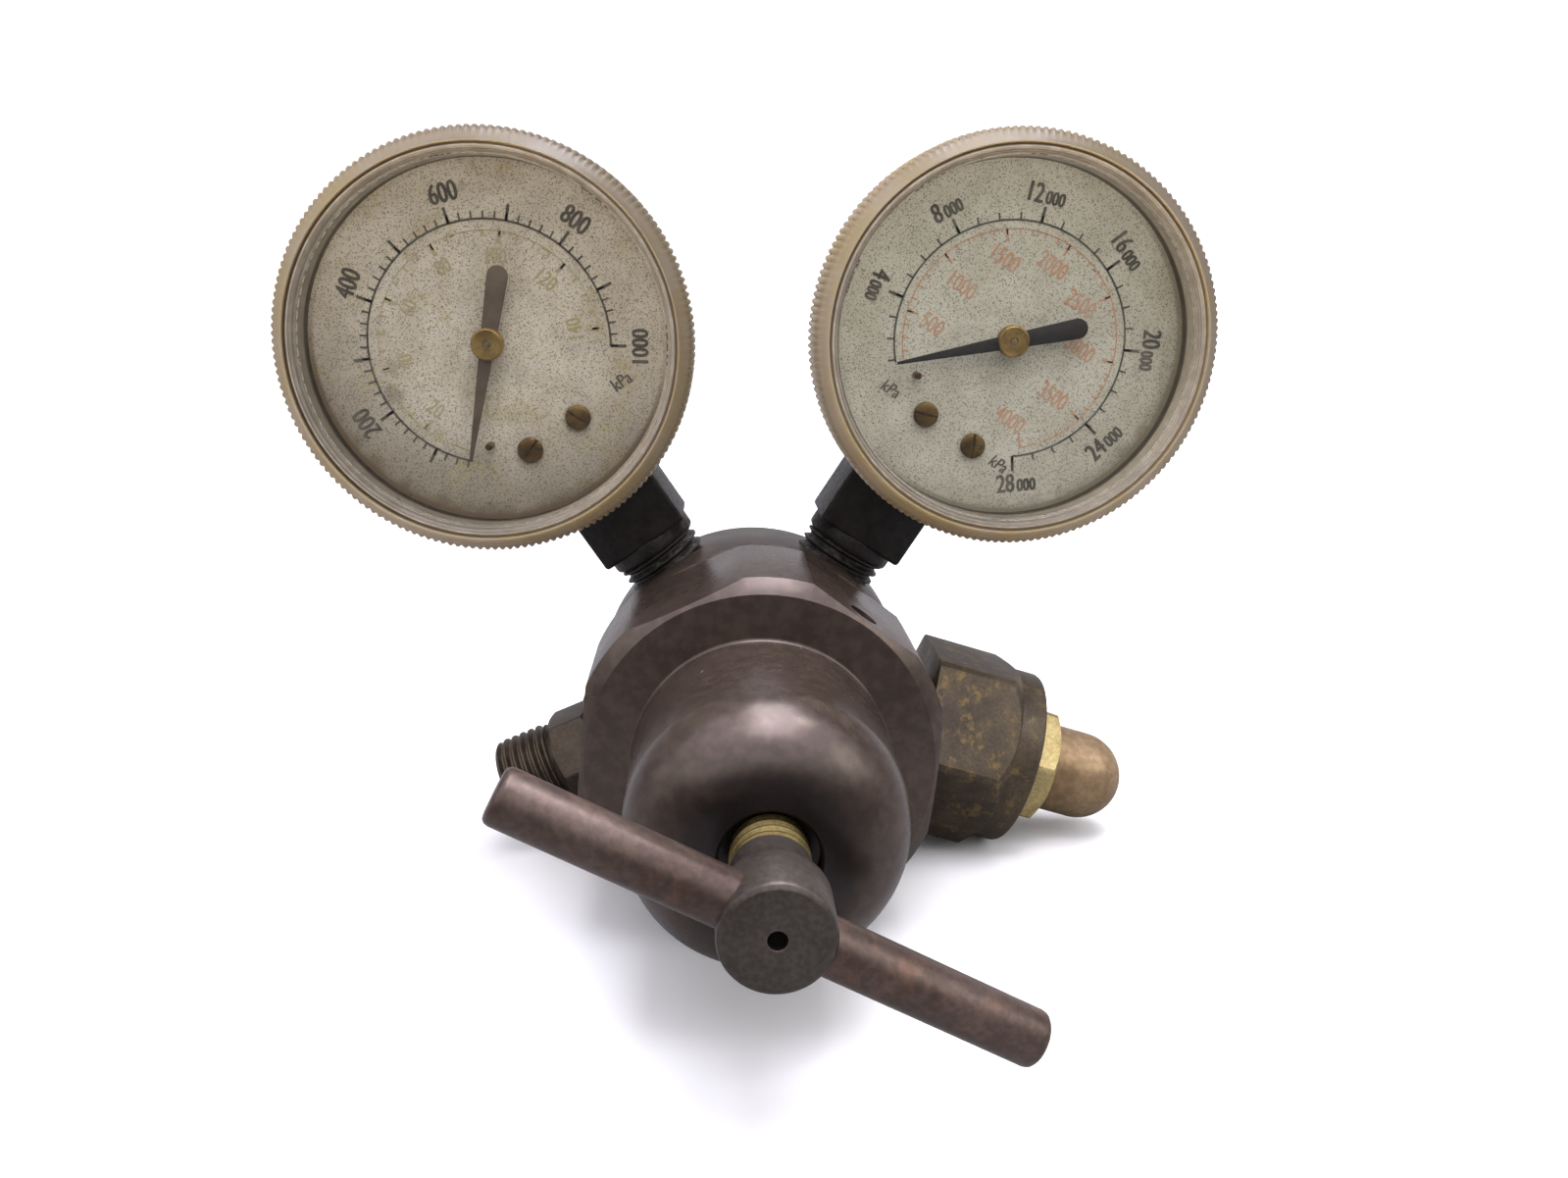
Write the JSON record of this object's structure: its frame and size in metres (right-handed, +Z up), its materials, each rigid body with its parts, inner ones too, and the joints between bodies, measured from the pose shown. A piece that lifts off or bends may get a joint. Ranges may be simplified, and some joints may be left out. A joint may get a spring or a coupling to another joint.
{
  "type": "gas pressure regulator",
  "caption": "Compressed gas cylinder pressure regulator with screw-adjusted spring bonnet, round-nosed inlet nipple and nut, threaded outlet and round dial gauges.",
  "frame": {"origin": "centre of the box under the whole regulator, level with the lowest point of the inlet nut's collar", "axes": "+Z up, between the two gauges; +Y from the adjusting screw's hub towards the body's flat back face; +X towards the inlet"},
  "size_m": [0.1308, 0.0998, 0.1111],
  "materials": {
    "bronze_body": "dark brown tarnish, satin",
    "bronze_bonnet": "dark brown tarnish, satin",
    "screw_bronze": "brown tarnish, satin",
    "handle_copper": "brown with coppery wear, satin",
    "nut_bronze": "brown tarnish with worn golden flats",
    "nipple_brass": "worn yellow and tan, satin",
    "outlet_bronze": "dark brown tarnish, satin",
    "stem_black": "blackened, satin",
    "bright_brass": "machined",
    "aged_brass": "dull, darkened",
    "spring_steel": "plain",
    "rubber": "matt",
    "nylon": "matt",
    "filter_bronze": "porous, matt",
    "case_black": "satin black paint",
    "clear_plastic": "clear, slightly yellowed",
    "left_dial_paint": "matt, stained grey-beige print",
    "right_dial_paint": "matt grey print",
    "pointer_dark": "matt dark brown"
  },
  "bodies": {
    "regulator": {"body": "bronze_body", "bonnet": "bronze_bonnet", "slip_ring": "bright_brass", "diaphragm": "rubber", "adjusting_spring": "spring_steel", "nozzle": "bright_brass", "seat_spring": "spring_steel", "inlet_nipple": "nipple_brass", "inlet_filter": "filter_bronze", "outlet_fitting": "outlet_bronze", "left_socket": "stem_black", "left_case": "case_black", "left_case_screws": "bright_brass", "left_window": "clear_plastic", "left_dial": "left_dial_paint", "left_dial_fixings": "aged_brass", "left_movement_frame": "bright_brass", "left_bourdon_tube": "bright_brass", "right_socket": "stem_black", "right_case": "case_black", "right_case_screws": "bright_brass", "right_window": "clear_plastic", "right_dial": "right_dial_paint", "right_dial_fixings": "aged_brass", "right_movement_frame": "bright_brass", "right_bourdon_tube": "bright_brass"},
    "button": {"spring_button": "bright_brass"},
    "screw": {"adjusting_screw": "screw_bronze", "handle_bar": "handle_copper"},
    "plate": {"diaphragm_plate": "bright_brass", "diaphragm_pusher": "bright_brass"},
    "valve": {"valve_stem": "spring_steel", "valve_seat": "nylon"},
    "inlet_nut": {"inlet_nut": "nut_bronze"},
    "left_pointer": {"left_pointer": "pointer_dark", "left_pointer_shaft": "aged_brass"},
    "left_sector": {"left_sector": "bright_brass"},
    "left_link": {"left_link": "spring_steel", "left_tube_tip": "bright_brass"},
    "right_pointer": {"right_pointer": "pointer_dark", "right_pointer_shaft": "aged_brass"},
    "right_sector": {"right_sector": "bright_brass"},
    "right_link": {"right_link": "spring_steel", "right_tube_tip": "bright_brass"}
  },
  "joints": [
    {"name": "screw_turn", "type": "hinge", "parent": "button", "child": "screw", "pos_m": [0, -0.01631, 0.02704], "axis": [0, 1, 0], "range_deg": [0, 1800]},
    {"name": "screw_advance", "type": "slide", "parent": "regulator", "child": "button", "axis": [0, 1, 0], "range_m": [0, 0.00794], "deforming": ["adjusting_spring"]},
    {"name": "diaphragm_lift", "type": "slide", "parent": "regulator", "child": "plate", "axis": [0, 1, 0], "range_m": [0, 0.0008], "deforming": ["diaphragm"]},
    {"name": "valve_open", "type": "slide", "parent": "regulator", "child": "valve", "axis": [0, 1, 0], "range_m": [0, 0.0008], "deforming": ["seat_spring"]},
    {"name": "nut_turn", "type": "hinge", "parent": "regulator", "child": "inlet_nut", "pos_m": [0.03433, 0.03369, 0.01622], "axis": [0.9537, 0, -0.3007], "continuous": true},
    {"name": "left_pointer_turn", "type": "hinge", "parent": "regulator", "child": "left_pointer", "pos_m": [-0.0367, 0.03369, 0.0825], "axis": [0, 1, 0], "range_deg": [0, 264], "stiffness_Nm_per_rad": 0.0005},
    {"name": "left_sector_turn", "type": "hinge", "parent": "regulator", "child": "left_sector", "pos_m": [-0.02621, 0.03369, 0.07843], "axis": [0, 1, 0], "range_deg": [-33, 0]},
    {"name": "left_link_turn", "type": "hinge", "parent": "left_sector", "child": "left_link", "pos_m": [-0.02096, 0.03369, 0.08004], "axis": [0, 1, 0], "range_deg": [0, 33], "deforming": ["left_bourdon_tube"]},
    {"name": "right_pointer_turn", "type": "hinge", "parent": "regulator", "child": "right_pointer", "pos_m": [0.0367, 0.03369, 0.0825], "axis": [0, 1, 0], "range_deg": [0, 278], "stiffness_Nm_per_rad": 0.0005},
    {"name": "right_sector_turn", "type": "hinge", "parent": "regulator", "child": "right_sector", "pos_m": [0.03706, 0.03369, 0.07125], "axis": [0, 1, 0], "range_deg": [-34.75, 0]},
    {"name": "right_link_turn", "type": "hinge", "parent": "right_sector", "child": "right_link", "pos_m": [0.04053, 0.03369, 0.06699], "axis": [0, 1, 0], "range_deg": [0, 34.75], "deforming": ["right_bourdon_tube"]}
  ],
  "couplings": [
    {"joint": "screw_turn", "follows": "screw_advance", "rad_per_m": 3957.9},
    {"joint": "diaphragm_lift", "follows": "screw_advance", "ratio": 0.10079},
    {"joint": "valve_open", "follows": "screw_advance", "ratio": 0.10079},
    {"joint": "left_sector_turn", "follows": "left_pointer_turn", "ratio": -0.125},
    {"joint": "left_link_turn", "follows": "left_pointer_turn", "ratio": 0.125},
    {"joint": "right_sector_turn", "follows": "right_pointer_turn", "ratio": -0.125},
    {"joint": "right_link_turn", "follows": "right_pointer_turn", "ratio": 0.125}
  ]
}
